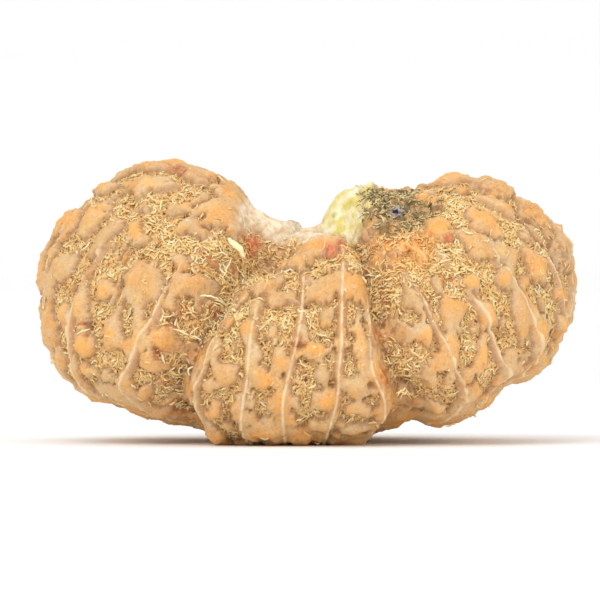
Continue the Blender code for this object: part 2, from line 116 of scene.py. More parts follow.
# Tubercles seen from the front: across, up, half width and half height in millimetres, and a tilt in degrees
TUBERCLES = (
    (-11.8, 20.3, 1.9, 0.6), (-11.7, 18.9, 1.5, 0.8), (-15.1, 18.6, 0.9, 0.6, 20), (-17.5, 16.2, 0.7, 0.9),
    (-19.6, 11.7, 0.5, 0.8), (-15.0, 15.0, 1.8, 0.5, 42), (-12.6, 15.1, 0.8, 1.1), (-14.8, 11.2, 0.7, 0.7),
    (-12.0, 11.8, 1.7, 1.5), (-16.6, 10.1, 0.7, 1.1), (-18.0, 9.4, 0.5, 1.0), (-18.2, 6.1, 0.5, 0.8),
    (-16.4, 7.3, 0.9, 1.0), (-16.1, 5.4, 0.8, 0.6), (-14.5, 7.9, 0.8, 1.0), (-12.6, 7.6, 0.5, 0.7),
    (-11.8, 5.8, 0.6, 0.9), (-12.3, 3.3, 0.5, 1.0), (-13.6, 4.5, 0.6, 0.9), (-11.0, 1.9, 0.8, 0.6),
    (-10.9, 7.9, 1.0, 1.0), (-8.5, 11.9, 1.2, 0.8), (-6.4, 17.0, 2.0, 1.3), (-9.9, 17.1, 0.7, 0.6),
    (-8.5, 15.8, 0.7, 0.6), (-9.3, 13.4, 0.5, 0.6), (-5.4, 14.2, 0.8, 0.9), (-1.8, 14.0, 0.6, 0.8),
    (-0.6, 13.6, 0.6, 0.9), (-3.2, 11.8, 1.2, 0.8), (-2.1, 10.7, 0.5, 0.6), (-3.9, 10.3, 0.5, 0.5),
    (-4.5, 8.6, 0.6, 0.7), (1.2, 9.4, 0.6, 0.6), (3.8, 7.5, 0.6, 1.4, -12), (0.6, 7.0, 1.0, 0.6),
    (-1.9, 6.0, 0.5, 0.8), (-1.9, 3.3, 0.5, 1.1), (-5.9, 5.1, 1.1, 0.6, 30), (-6.7, 2.4, 0.6, 0.9),
    (-5.1, 2.8, 0.5, 1.4), (-7.0, 0.6, 0.8, 0.6), (1.2, 5.1, 0.5, 0.6), (1.1, 3.6, 0.8, 0.6),
    (3.3, 4.3, 1.0, 0.6), (3.9, 2.7, 0.6, 0.6), (1.2, 1.5, 0.6, 0.6), (3.6, 1.1, 0.8, 0.6),
    (-3.2, 5.0, 0.7, 0.7), (11.5, 18.9, 1.1, 0.7), (13.3, 18.0, 0.9, 0.5, -15), (15.0, 17.2, 0.9, 0.6, -30),
    (17.4, 15.7, 1.0, 0.9), (12.0, 11.9, 0.9, 0.7, 45), (14.8, 13.3, 0.5, 0.8), (16.7, 13.1, 0.9, 1.1),
    (19.4, 12.3, 0.5, 0.8), (14.2, 12.0, 0.6, 0.5), (18.4, 10.8, 0.5, 0.6), (8.6, 8.1, 0.5, 0.6),
    (7.6, 10.7, 0.5, 0.8), (10.4, 10.0, 1.1, 1.0), (10.4, 7.5, 0.5, 1.3), (9.2, 4.4, 0.6, 1.0),
    (9.2, 2.4, 0.7, 1.0), (12.5, 6.6, 0.5, 1.5), (13.1, 9.3, 0.6, 0.7), (15.5, 9.2, 0.6, 1.4, -8),
    (17.0, 8.4, 0.6, 1.5, -5), (18.6, 8.7, 0.4, 1.3), (14.7, 5.4, 0.6, 0.9), (17.2, 6.2, 0.6, 0.6),
    (11.5, 3.2, 0.5, 0.8),
)
HAND_HEIGHT = 1.0 * MM

# The lowest tubercles, which the bead stands on: across and back, in millimetres
FEET = ((-6.9, -6.0), (3.1, -6.2), (3.4, 5.8), (-6.2, 6.0))
FOOT_RADIUS = 1.9 * MM
FOOT_HEIGHT = 1.5 * MM
FOOT_WEAR = 0.35 * MM
UNDERSIDE = 3.0 * MM

# Tubercles that fill the rest, mostly longer down the bead than across it
SEED = 21
DARTS = 9000
SPACING = 2.30 * MM
DOWNWARD_SHARE = 0.85
SKEW = 0.45
SEAM_MARGIN = 0.75 * MM
LONG_RANGE = (1.35 * MM, 1.90 * MM)
ACROSS_RANGE = (1.15 * MM, 1.40 * MM)
RISE_RANGE = (0.95 * MM, 1.20 * MM)

# Tubercles lean out from the heart of the bead and have uneven outlines
HEART = np.array((0.0, 0.0, 8.5 * MM))
OUTWARD_LEAN = 0.6
POLE_FADE = 0.35
STEP = 0.004
FRONT_STEP = 0.05 * MM
RIPPLES = ((1.6 * MM, 0.12 * MM), (0.55 * MM, 0.035 * MM))

# Small seeded tubercles between the others and on them
SMALL_SEED = 33
SMALL_DARTS = 7000
SMALL_SPACING = 1.25 * MM
SMALL_MARGIN = 0.45 * MM
SMALL_LONG = (0.50 * MM, 0.95 * MM)
SMALL_ACROSS = (0.36 * MM, 0.55 * MM)
SMALL_RISE = (0.30, 0.65)

# Slow, middling and quick noise over the skin, as size of features, octaves and shift, and its form
CLOUDS = ((1.3 * MM, 3, 3.0), (0.75 * MM, 3, 7.0), (0.30 * MM, 2, 11.0))
CLOUD_FORM = (0.7, 2.1)

# Tubercles add up to a field, and plateaus rise where it passes the first of these strengths up to the second
FALL_OFF = 1.15
FIELD_REACH = 2.0
PLATEAU_EDGE = (0.30, 0.39)
FULL_FIELD = 1.40

# Noise in the field: sizes across and down the bead, and what it and finer noise add
RIDGE_ACROSS = 0.95 * MM
RIDGE_DOWN = 3.0 * MM
MERIDIAN = 31.0 * MM
RIDGES = (1.0, 3, 17.0)
FIELD_NOISE = (0.36, 0.15, 0.06)
FIELD_GAIN = 0.07

# Plateaus keep close to the seams, and fibres take the grooves and more of the back
SEAM_GAIN = 0.20
SEAM_REACH = 0.75 * MM
GROOVE_LOSS = 0.26
BACK_LOSS = 0.20
BACK_EDGE = 4.0

# Where fibres take more room than plateaus, as middle, half sizes and strength
THICKETS = (
    ((10.5, -6.5, 14.8), (4.8, 7.0, 3.6), 0.48),
    ((-17.5, -3.5, 11.5), (2.4, 5.0, 2.4), 0.22),
    ((-11.0, -9.0, 16.0), (2.6, 5.0, 1.4), 0.16),
    ((12.8, -9.5, 7.0), (1.2, 5.0, 3.4), 0.22),
    ((0.6, -12.0, 9.0), (3.2, 4.0, 2.2), 0.10),
    ((6.4, -8.6, 14.5), (2.6, 4.0, 1.6), 0.42),
    ((2.6, -10.5, 13.0), (1.8, 3.0, 1.6), 0.30),
    ((1.8, -11.5, 11.4), (1.5, 4.0, 2.2), 0.36),
)
PLATEAU_SHARE = 0.42
RELIEF = 1.22 * MM
LUMPS = (0.07 * MM, 0.021 * MM)
CREVICE_DEPTH = 0.75 * MM
CREVICE_FLOOR = 0.22 * MM
FLOOR_ROUGHNESS = (0.06 * MM, 0.08 * MM)
FOOT_ROOT = 0.6

# A smooth band along each seam, with a thin raised line on it
BAND_HEIGHT = 0.56 * MM
BAND_WIDTH = 0.36 * MM
BAND_COVERED = 0.55
BAND_EDGE = (-0.08 * MM, 0.12 * MM)
SEAM_HEIGHT = 0.12 * MM
SEAM_WIDTH = 0.12 * MM
SEAM_CLEAR = (0.17, 0.32)
SEAM_WAVER = 0.10
SEAM_BREAKS = (0.65, 0.9, 0.5)
LINE_COVERED = 0.5
LINE_BROKEN = 0.45
OUTER_LOBES = (1.5 * MM, 9.0 * MM, 0.13)

# Seeded small pits
PIT_SEED = 51
SMALL_PITS = 360
SMALL_PIT_RADIUS = (0.11 * MM, 0.26 * MM)
SMALL_PIT_DEPTH = 0.30 * MM
SMALL_PIT_SHADE = 0.8
PIT_WAVER = 0.5

# Pits seen from the front, as across, up and radius in millimetres
PITS = (
    (-16.2, 8.7, 0.45), (-15.8, 4.8, 0.40), (-10.3, 9.1, 0.45), (-9.1, 11.0, 0.35),
    (-11.3, 14.7, 0.35), (-7.7, 16.0, 0.30), (-5.9, 18.5, 0.40), (-4.3, 16.4, 0.40),
    (-1.0, 15.4, 0.25), (-0.6, 7.3, 0.40), (1.7, 4.5, 0.35), (4.5, 4.4, 0.40),
    (4.5, 3.4, 0.35), (13.1, 8.4, 0.30), (17.6, 6.7, 0.35), (18.2, 7.8, 0.35),
    (-0.1, 13.3, 0.35), (1.1, 12.6, 0.35), (-0.3, 10.2, 0.30), (6.4, 17.05, 0.32),
)
PIT_DEPTH = 0.55 * MM
HOLE = ((6.4, 17.05, 0.32),)
HOLE_RIM = ((6.4, 17.05, 0.90),)
SEEN_WITHIN = 0.25 * MM
FACES_FRONT = 0.2

# Rusty stains seen from the front, in the same way
RUST = (
    (-16.2, 8.5, 0.6), (-9.7, 9.0, 0.8), (-10.9, 6.7, 0.6), (-8.7, 9.8, 0.7),
    (-6.7, 9.6, 0.5), (-7.3, 13.2, 0.8), (-8.9, 2.7, 0.8), (-0.6, 7.4, 0.6),
    (5.2, 10.8, 0.6), (5.1, 8.0, 0.6), (5.7, 4.9, 0.8), (10.0, 15.0, 0.5),
    (9.9, 12.0, 0.5), (-9.3, 20.0, 0.8), (5.9, 12.6, 0.7),
)

# Reddish granular spots under the notch
EMBER = (
    (-3.8, 14.7, 0.80), (-4.1, 13.9, 0.55), (1.6, 14.5, 0.75), (2.9, 14.5, 0.70),
    (1.9, 14.0, 0.4), (6.6, 14.9, 0.5), (10.2, 14.9, 0.26),
)

# Patches round the stem pole, as middle and half sizes in millimetres
PULP = ((3.1, -2.2, 17.3), (2.3, 3.8, 2.2))
TISSUE = ((-0.9, -1.0, 16.4), (4.4, 14.0, 1.70))
FUZZ = ((6.5, -5.0, 16.8), (2.4, 5.5, 1.8))
ORANGE = ((6.4, -8.6, 14.5), (3.3, 3.2, 1.9))
PATCH_REACH = 1.15
PATCH_FADE = 0.3
PATCH_WANDER = 0.28
PULP_RISE = 0.45 * MM
PULP_LUMPS = 0.5

# Where the photo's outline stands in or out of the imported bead's, as middle and half sizes and distance
OUTLINE_FITS = (
    ((-14.5, 0.0, 3.2), (4.0, 9.0, 2.0), -0.42),
    ((13.6, 0.0, 3.4), (4.6, 9.0, 2.4), -0.56),
    ((-3.9, 0.0, 17.6), (1.2, 9.0, 1.8), -0.45),
    ((7.4, 0.0, 18.6), (3.0, 5.0, 1.2), 0.35),
    ((-15.8, 0.0, 17.6), (1.6, 9.0, 1.4), 0.30),
)

# Skin mesh
RINGS = 198
FRONT_GAP = 0.142 * MM
BACK_GAP = 0.225 * MM
HALF_WITHIN = 0.45
QUARTER_WITHIN = 0.20
BESIDE_SEAM = (0.07 * MM, 0.15 * MM, 0.26 * MM)
RING_MEASURES = (20, 45, 70, 90, 110, 135, 160)

# Threads of straw
FIBRE_SEED = 7
FIBRE_POINTS = 6
FIBRE_SIDES = 3
FIBRE_LENGTH = (0.35 * MM, 1.00 * MM)
FIBRE_RADIUS = (0.050 * MM, 0.120 * MM)
FIBRE_FLATNESS = 0.6
FIBRE_LIFT = (0.03 * MM, 0.12 * MM)
FIBRE_CURL = 0.34
FIBRE_SWERVE = 0.35
FIBRE_BOB = (0.3, 1.5)
TUBE_TAPER = 0.75
FIBRE_PIECES = (
    ("fibres_left", 117.0, 190.0, 1750),
    ("fibres_middle", 72.0, 117.0, 1350),
    ("fibres_right", -2.0, 72.0, 2500),
    ("fibres_behind", 190.0, 358.0, 4400),
)
FUZZ_THREADS = 900
FUZZ_LENGTH = (0.25 * MM, 0.80 * MM)
FUZZ_RADIUS = (0.040 * MM, 0.085 * MM)
CRUMBS = 9000
CRUMB_RADIUS = (0.040 * MM, 0.105 * MM)
CRUMB_FORM = (2.4, 1.0, 0.7)
CRUMB_SPREAD = (0.5, 1.5)

# Straw thins as the skin rises, by slope, power and least, and is thicker right of and above a place
FIBRE_THINNING = (1.25, 1.5, 0.014)
UPPER_RIGHT = (3.0 * MM, 9.0 * MM)
UPPER_RIGHT_FADE = 6.0 * MM
UPPER_RIGHT_GAIN = 2.0

# Threads' first tone, and the tones that they take up from one shade to another
STRAW_TONES = ((240, 186, 112), ((0.0, 0.4, (254, 222, 152)), (0.6, 1.0, (255, 242, 196))))
FUZZ_TONES = ((88, 80, 58), ((0.0, 0.5, (180, 154, 100)), (0.45, 0.75, (244, 220, 164))))

# Stray straws seen from the front, from one end to the other in millimetres, with their radius and paleness
STRAWS = (
    (-7.92, 10.94, -6.52, 10.87, 0.065, 0.95),
    (-9.90, 8.45, -8.70, 7.95, 0.055, 0.85),
    (-8.70, 7.95, -7.80, 7.62, 0.045, 0.85),
    (-8.75, 7.98, -8.10, 8.60, 0.040, 0.80),
    (-16.60, 7.95, -15.60, 8.35, 0.050, 0.90),
    (6.40, 3.60, 7.60, 3.10, 0.055, 0.60),
    (6.60, 3.20, 7.30, 4.00, 0.055, 0.70),
    (6.90, 2.90, 7.70, 3.70, 0.050, 0.65),
    (-5.60, 13.80, -6.30, 12.30, 0.050, 0.75),
    (8.90, 12.90, 10.60, 13.60, 0.050, 0.75),
)
CHIP = (-5.86, 15.36, -4.60, 14.30, 0.27, 0.90)
CHIP_FLATNESS = 0.16
STRAW_LIFT = 0.13 * MM
STRAW_BOW = 0.08
STRAW_SIDES = 6

# The photograph's frame, in pixels, and how the bead lies in it
FRAME_PX = 600.0
BEAD_WIDTH_PX = 543.0
BEAD_MIDDLE_PX = 307.5
GROUND_PX = 441.5
LENS_MM = 250.0
SENSOR_MM = 36.0

# Floor and backdrop as back and up, and their half width, in metres
FLOOR_RUN = ((-0.6, 0.0), (0.25, 0.0), (0.32, 0.012), (0.37, 0.05), (0.39, 0.12), (0.39, 0.6))
FLOOR_HALF = 0.8

# Lamps as name, place and size in metres and power in watts, where they aim, and the light from all round
LAMPS = (
    ("key", (-0.16, -0.26, 0.34), 0.30, 0.70),
    ("fill", (0.30, -0.30, 0.16), 0.34, 0.30),
    ("top", (0.02, 0.05, 0.42), 0.36, 0.20),
)
LAMP_AIM = (0.0, 0.0, 0.01)
WORLD_LIGHT = 0.80


def clamp(values):
    return np.clip(values, 0.0, 1.0)


def curve_through(points, x):
    """A smooth curve through points, read at each x."""
    at, value = np.asarray(points, float).T
    slope = np.gradient(value, at)
    k = np.clip(np.searchsorted(at, x) - 1, 0, len(at) - 2)
    span = at[k + 1] - at[k]
    s = clamp((x - at[k]) / span)
    ends = value[k] * (2 * s**3 - 3 * s**2 + 1) + value[k + 1] * (3 * s**2 - 2 * s**3)
    lean = slope[k] * (s**3 - 2 * s**2 + s) + slope[k + 1] * (s**3 - s**2)
    return ends + lean * span


def waist(x):
    """Height of the widest line round the bead."""
    return WAIST_MIDDLE + (WAIST_END - WAIST_MIDDLE) * np.abs(x / HALF_WIDTH) ** WAIST_BEND


def end_rounding(x):
    return np.sqrt(clamp(1.0 - np.abs(x / HALF_WIDTH) ** END_POWER))


def reach_of(edge):
    """How far an edge seen from the front stands off the waist, without its rounding at the two ends."""
    x = MM * np.array([point[0] for point in edge])
    z = MM * np.array([point[1] for point in edge])
    inner = slice(1, -1)
    reach = np.abs(z[inner] - waist(x[inner])) / end_rounding(x[inner])
    return list(zip(x, np.concatenate([reach[:1], reach, reach[-1:]])))


CREST_REACH = reach_of(CREST)
KEEL_REACH = reach_of(KEEL)


def edge_fall(v, power, root):
    """Share of the reach off the waist that is left at a share v of the depth."""
    return clamp(1.0 - v**power) ** root


def edge_fall_back(share, power, root):
    """The share of the depth at which edge_fall gives share."""
    return (1.0 - clamp(share) ** (1.0 / root)) ** (1.0 / power)


def body(turn, fall):
    """Points of the smooth body. Turn is in radians, and fall runs from 0 at the top to 1 at the bottom."""
    out = np.sin(math.pi * clamp(fall))
    x = HALF_WIDTH * out * np.cos(turn)
    y = -HALF_DEPTH * out * np.sin(turn)
    half_chord = np.sqrt(np.maximum(1.0 - (x / HALF_WIDTH) ** 2, 1e-12))
    v = clamp(np.abs(y / HALF_DEPTH) / half_chord)
    level = waist(x)
    above = level + curve_through(CREST_REACH, x) * end_rounding(x) * edge_fall(v, *CREST_FALL)
    below = level - curve_through(KEEL_REACH, x) * end_rounding(x) * edge_fall(v, *KEEL_FALL)
    pit = TOP_PIT * np.exp(-(x**2 + y**2) / TOP_PIT_SPREAD**2)
    wide, deep = BOTTOM_DIMPLE_SPREAD
    dimple = BOTTOM_DIMPLE * np.exp(-((x / wide) ** 2) - (y / deep) ** 2)
    z = np.where(fall < 0.5, above - pit, below + dimple)
    return np.stack([x, y, z], axis=-1)


def front_point(x, z):
    """The point of the smooth body that is seen from the front at x and z."""
    level = waist(x)
    room = end_rounding(x)
    above = edge_fall_back((z - level) / (curve_through(CREST_REACH, x) * room), *CREST_FALL)
    below = edge_fall_back((level - z) / (curve_through(KEEL_REACH, x) * room), *KEEL_FALL)
    v = np.where(z > level, above, below)
    y = -HALF_DEPTH * v * np.sqrt(1.0 - (x / HALF_WIDTH) ** 2)
    return np.stack([x, y, z], axis=-1)


def unit(vectors):
    return vectors / np.maximum(np.linalg.norm(vectors, axis=-1, keepdims=True), 1e-15)


def outward(turn, fall):
    """Directions that the relief is raised in: the body's normal, leaning away from its heart."""
    inner = np.clip(fall, 2 * STEP, 1.0 - 2 * STEP)
    round_way = body(turn + STEP, inner) - body(turn - STEP, inner)
    down_way = body(turn, inner + STEP) - body(turn, inner - STEP)
    normal = unit(np.cross(round_way, down_way))
    away = unit(body(turn, fall) - HEART)
    normal *= np.where((normal * away).sum(axis=-1, keepdims=True) < 0.0, -1.0, 1.0)
    return unit(normal + OUTWARD_LEAN * away)


def meridian_at(turn, fall):
    """Unit directions that run down the body from the top pole."""
    return unit(body(turn, clamp(fall + STEP)) - body(turn, clamp(fall - STEP)))


def course(place, above, below, fall):
    """Where a seam or groove runs, in radians, at a height given by fall."""
    wander = SEAM_WANDER * np.sin(2 * math.pi * SEAM_WAVES * fall + place)
    upper = np.maximum(1.0 - 2.0 * fall, 0.0)
    lower = np.maximum(2.0 * fall - 1.0, 0.0)
    return np.radians(place + above * upper + below * lower + wander)


def offset_from(turn, fall, place, above, below):
    """Distance along the surface, round the bead, from a seam or groove."""
    out = np.sin(math.pi * fall)
    apart = turn - course(place, above, below, fall)
    apart = (apart + math.pi) % (2 * math.pi) - math.pi
    return apart * out * np.hypot(HALF_WIDTH * np.sin(turn), HALF_DEPTH * np.cos(turn))


def seam_gap(turn, fall):
    """Distance from the nearest seam."""
    return np.min([np.abs(offset_from(turn, fall, *seam)) for seam in SEAMS], axis=0)


def ripple(points, size, amount):
    """A slow wander that makes round outlines uneven."""
    x, y, z = (points[..., k] / size for k in range(3))
    along_x = np.sin(1.7 * y + 0.6 * z) + np.sin(2.9 * z - 1.1 * x)
    along_y = np.sin(1.9 * z + 0.8 * x) + np.sin(2.6 * x - 1.3 * y)
    along_z = np.sin(2.1 * x + 0.7 * y) + np.sin(2.7 * y - 0.9 * z)
    return amount * np.stack([along_x, along_y, along_z], axis=-1)


def hand_tubercles():
    """The tubercles that the front shows, as centres, long directions, half sizes and heights."""
    rows = np.array([(*row, 0)[:5] for row in TUBERCLES], float)
    x, z, half_x, half_z = MM * rows[:, :4].T
    tilt = np.radians(rows[:, 4:])
    centre = front_point(x, z)
    beyond = np.clip(x + FRONT_STEP, None, HALF_WIDTH - FRONT_STEP)
    across = unit(front_point(beyond, z) - front_point(x - FRONT_STEP, z))
    up = unit(front_point(x, z + FRONT_STEP) - front_point(x, z - FRONT_STEP))
    tall = (half_z > half_x)[:, None]
    along = np.where(tall, up, across)
    other = np.where(tall, across, up)
    along = unit(along * np.cos(tilt) + other * np.sin(tilt))
    long_half = np.maximum(half_x, half_z)
    short_half = np.minimum(half_x, half_z)
    return centre, along, long_half, short_half, np.full(len(x), HAND_HEIGHT)


def foot_tubercles():
    x, y = (MM * np.array(FEET, float)).T
    turn = np.arctan2(-y / HALF_DEPTH, x / HALF_WIDTH)
    out = np.hypot(x / HALF_WIDTH, y / HALF_DEPTH)
    centre = body(turn, 1.0 - np.arcsin(out) / math.pi)
    along = np.tile((1.0, 0.0, 0.0), (len(x), 1))
    radius = np.full(len(x), FOOT_RADIUS)
    return centre, along, radius, radius, np.full(len(x), FOOT_HEIGHT)


def darts(draw, count, margin):
    """Seeded turns, falls and points all over the bead, and which of them are clear of the seams."""
    turn = draw.uniform(0.0, 2 * math.pi, count)
    fall = np.arccos(draw.uniform(-1.0, 1.0, count)) / math.pi
    return turn, fall, body(turn, fall), np.flatnonzero(seam_gap(turn, fall) > margin)


def filling_tubercles(taken):
    """Seeded tubercles in the places that no other one takes, each between two seams."""
    draw = np.random.default_rng(SEED)
    turn, fall, centre, clear = darts(draw, DARTS, SEAM_MARGIN)
    meridian = meridian_at(turn, fall)
    parallel = np.cross(outward(turn, fall), meridian)
    skew = draw.normal(0.0, SKEW, DARTS)[:, None]
    along = meridian * np.cos(skew) + parallel * np.sin(skew)
    long_half = draw.uniform(*LONG_RANGE, DARTS)
    short_half = draw.uniform(*ACROSS_RANGE, DARTS)
    rise = draw.uniform(*RISE_RANGE, DARTS)
    kept = []
    places = list(taken)
    for k in clear:
        apart = np.array(places) - centre[k]
        down = apart @ meridian[k]
        gaps = (apart**2).sum(axis=1) - (1.0 - DOWNWARD_SHARE**2) * down**2
        if gaps.min() > SPACING**2:
            places.append(centre[k])
            kept.append(k)
    return centre[kept], along[kept], long_half[kept], short_half[kept], rise[kept]


def all_tubercles():
    hand = hand_tubercles()
    feet = foot_tubercles()
    taken = np.concatenate([hand[0], feet[0]])
    sets = (hand, feet, filling_tubercles(taken))
    return [np.concatenate(column) for column in zip(*sets)]


def small_tubercles():
    """Seeded small tubercles all over the bead, clear of its seams."""
    draw = np.random.default_rng(SMALL_SEED)
    turn, fall, centre, clear = darts(draw, SMALL_DARTS, SMALL_MARGIN)
    along = unit(meridian_at(turn, fall) + draw.normal(0.0, SKEW, (SMALL_DARTS, 3)))
    places = []
    kept = []
    for k in clear:
        if not places or (np.abs(np.array(places) - centre[k]).max(axis=1) > SMALL_SPACING).all():
            places.append(centre[k])
            kept.append(k)
    count = len(kept)
    long_half = draw.uniform(*SMALL_LONG, count)
    short_half = draw.uniform(*SMALL_ACROSS, count)
    return centre[kept], along[kept], long_half, short_half, draw.uniform(*SMALL_RISE, count) * HAND_HEIGHT


def tubercle_field(points, tubercles):
    """How strongly tubercles add up at each point, how near the top of one it is, and which one that is."""
    wandering = points + sum(ripple(points, size, amount) for size, amount in RIPPLES)
    field = np.zeros(len(points))
    top = np.zeros(len(points))
    which = np.full(len(points), len(tubercles[0]))
    for k, (centre, along, long_half, short_half, rise) in enumerate(zip(*tubercles)):
        near = np.flatnonzero(np.abs(wandering - centre).max(axis=1) < FIELD_REACH * long_half)
        apart = wandering[near] - centre
        length = apart @ along
        rest = np.maximum((apart**2).sum(axis=1) - length**2, 0.0)
        share = (length / long_half) ** 2 + rest / short_half**2
        strength = rise / HAND_HEIGHT * np.exp(-FALL_OFF * share)
        field[near] += strength
        nearest = strength > top[near]
        top[near[nearest]] = strength[nearest]
        which[near[nearest]] = k
    return field, top, which


def foot_relief(points):
    """Height of the domes that the bead stands on."""
    relief = np.zeros(len(points))
    centres, _, radii, _, _ = foot_tubercles()
    for centre, radius in zip(centres, radii):
        share = ((points - centre) ** 2).sum(axis=1) / radius**2
        relief = np.maximum(relief, FOOT_HEIGHT * clamp(1.0 - share) ** FOOT_ROOT)
    return relief


def smooth_step(values, low, high):
    share = clamp((values - low) / (high - low))
    return share * share * (3.0 - 2.0 * share)


def seen_points(points, way_out, table):
    """The skin's points that the front shows at the places of a table."""
    front = np.flatnonzero(way_out[:, 1] < FACES_FRONT)
    seen = []
    for x, z in MM * np.array(table, float)[:, :2]:
        gap = np.hypot(points[front, 0] - x, points[front, 2] - z)
        near = front[gap <= max(SEEN_WITHIN, gap.min())]
        seen.append(points[near[np.argmin(points[near, 1])]])
    return np.array(seen)


def spots(points, centres, table, stretch=1.0):
    """How strongly each point lies in the spots of a table, from 0 to 1. Stretch makes their edges uneven."""
    strength = np.zeros(len(points))
    for centre, radius in zip(centres, MM * np.array(table, float)[:, 2]):
        gap = np.linalg.norm(points - centre, axis=1) * stretch
        strength = np.maximum(strength, np.exp(-((gap / radius) ** 3)))
    return strength


def small_pits(points, height, stretch):
    """How deep each point lies in seeded small pits, from 0 to 1. They lie off the tops of the plateaus."""
    draw = np.random.default_rng(PIT_SEED)
    chance = np.clip(1.1 - height, 0.02, 1.0)
    depth = np.zeros(len(points))
    for k in draw.choice(len(points), SMALL_PITS, p=chance / chance.sum()):
        radius = draw.uniform(*SMALL_PIT_RADIUS)
        near = np.flatnonzero(np.abs(points - points[k]).max(axis=1) < 2 * radius)
        gap = np.linalg.norm(points[near] - points[k], axis=1) * stretch[near]
        depth[near] = np.maximum(depth[near], np.exp(-((gap / radius) ** 4)))
    return depth


def share_out(points, middle, half):
    """Squared distance of each point from a middle, with each half size as one."""
    return (((points - MM * np.array(middle)) / (MM * np.array(half))) ** 2).sum(axis=1)


def patch(points, middle, half, wander):
    """How strongly each point lies in a patch with an uneven edge, from 0 to 1."""
    edge = np.sqrt(share_out(points, middle, half)) + wander
    return clamp((PATCH_REACH - edge) / PATCH_FADE)


def cloud(points, size, octaves, shift):
    """Fractal noise at each point, about -1 to 1, with features of the given size."""
    away = Vector((shift, -shift, 2.0 * shift))
    return np.array([noise.fractal(Vector(p) / size + away, *CLOUD_FORM, octaves) for p in points])


def ring_falls():
    """Falls of the skin's rings, the same distance apart along the surface on the mean of some meridians."""
    fine = np.linspace(0.0, 1.0, 2001)
    length = np.zeros(len(fine))
    for turn in np.radians(RING_MEASURES):
        path = body(np.full(len(fine), turn), fine)
        length[1:] += np.cumsum(np.linalg.norm(np.diff(path, axis=0), axis=1))
    return np.interp(np.linspace(0.0, length[-1], RINGS + 2)[1:-1], length, fine)


def faces_on(fall):
    """The seams on one ring in radians, the turn from each to the next, and that face's width."""
    lines = np.array([float(course(*seam, fall)) for seam in SEAMS])
    spans = np.diff(np.append(lines, lines[0] + 2 * math.pi))
    middle = lines + spans / 2
    out = math.sin(math.pi * fall)
    return lines, spans, spans * out * np.hypot(HALF_WIDTH * np.sin(middle), HALF_DEPTH * np.cos(middle))


def quarter_counts():
    """A quarter of the columns that each face has at the waist."""
    lines, spans, widths = faces_on(0.5)
    gaps = np.where(np.sin(lines + spans / 2) > 0.0, FRONT_GAP, BACK_GAP)
    return [max(2, round(width / (4 * gap))) for width, gap in zip(widths, gaps)]


QUARTER_COUNTS = quarter_counts()


def columns_at(fall, thinning):
    """Where a ring's columns stand, in radians: on each seam, some close beside it, and the rest even."""
    turns = []
    for line, span, width, quarter in zip(*faces_on(fall), QUARTER_COUNTS):
        count = 4 * quarter
        share = np.arange(count) / count
        beside = len(BESIDE_SEAM)
        for k, gap in enumerate(BESIDE_SEAM, 1):
            share[k] = min(gap / width, share[k])
            share[-k] = 1.0 - share[k]
        even = slice(beside, count - beside + 1)
        share[even] = np.linspace(share[beside], share[-beside], count - 2 * beside + 1)
        turns.extend(line + span * share[::thinning])
    return np.array(turns)


def skin_grid():
    """Rings of columns from the top pole to the bottom pole: turns, falls and each ring's vertex numbers."""
    rings, turns, levels = [], [np.zeros(1)], [np.zeros(1)]
    count = 1
    for fall in ring_falls():
        out = math.sin(math.pi * fall)
        ring = columns_at(fall, 4 if out < QUARTER_WITHIN else 2 if out < HALF_WITHIN else 1)
        turns.append(ring)
        levels.append(np.full(len(ring), fall))
        rings.append(range(count, count + len(ring)))
        count += len(ring)
    turns.append(np.zeros(1))
    levels.append(np.ones(1))
    return np.concatenate(turns), np.concatenate(levels), rings, count


def faces_between(rings, last):
    """Faces from the top pole, through the rings, to the bottom pole."""
    first, end = rings[0], rings[-1]
    faces = [(0, first[k], first[k - 1]) for k in range(len(first))]
    for upper, lower in zip(rings, rings[1:]):
        n, m = len(upper), len(lower)
        for k in range(min(n, m)):
            following = (k + 1) % min(n, m)
            if n == m:
                faces.append((upper[k], upper[following], lower[following], lower[k]))
            elif n < m:
                between = lower[2 * k + 1]
                faces.append((upper[k], between, lower[2 * k]))
                faces.append((upper[k], upper[following], between))
                faces.append((upper[following], lower[2 * following], between))
            else:
                between = upper[2 * k + 1]
                faces.append((lower[k], upper[2 * k], between))
                faces.append((lower[k], between, lower[following]))
                faces.append((lower[following], between, upper[2 * following]))
    return faces + [(last, end[k - 1], end[k]) for k in range(len(end))]


def settled(points):
    """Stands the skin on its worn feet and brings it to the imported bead's box."""
    x, y = points[:, 0], points[:, 1]
    under = points[:, 2] < UNDERSIDE
    lowest = []
    for foot in FEET:
        near = under & (np.hypot(x - foot[0] * MM, y - foot[1] * MM) < FOOT_RADIUS)
        lowest.append(points[near, 2].min())
    points[:, 2] = np.maximum(points[:, 2] - max(lowest) - FOOT_WEAR, 0.0)
    low, high = points.min(axis=0), points.max(axis=0)
    return BOX_LOW + (points - low) * (BOX_HIGH - BOX_LOW) / (high - low)


def groove_cuts(turn, fall):
    """How deep the grooves cut at each point, and how close to one it is, from 0 to 1."""
    reach = clamp(np.sin(math.pi * fall) / np.where(fall < 0.5, *GROOVE_ENDS)) ** 2
    cuts = np.zeros(len(turn))
    groove = np.zeros(len(turn))
    for *course_of, depth, half in GROOVES:
        away = offset_from(turn, fall, *course_of)
        cut = np.exp(-((away / half) ** 2))
        cuts += depth * (cut + SHOULDER_SHARE * np.exp(-((away / (GROOVE_SHOULDER * half)) ** 2)))
        groove = np.maximum(groove, reach * cut)
    return reach * cuts, groove


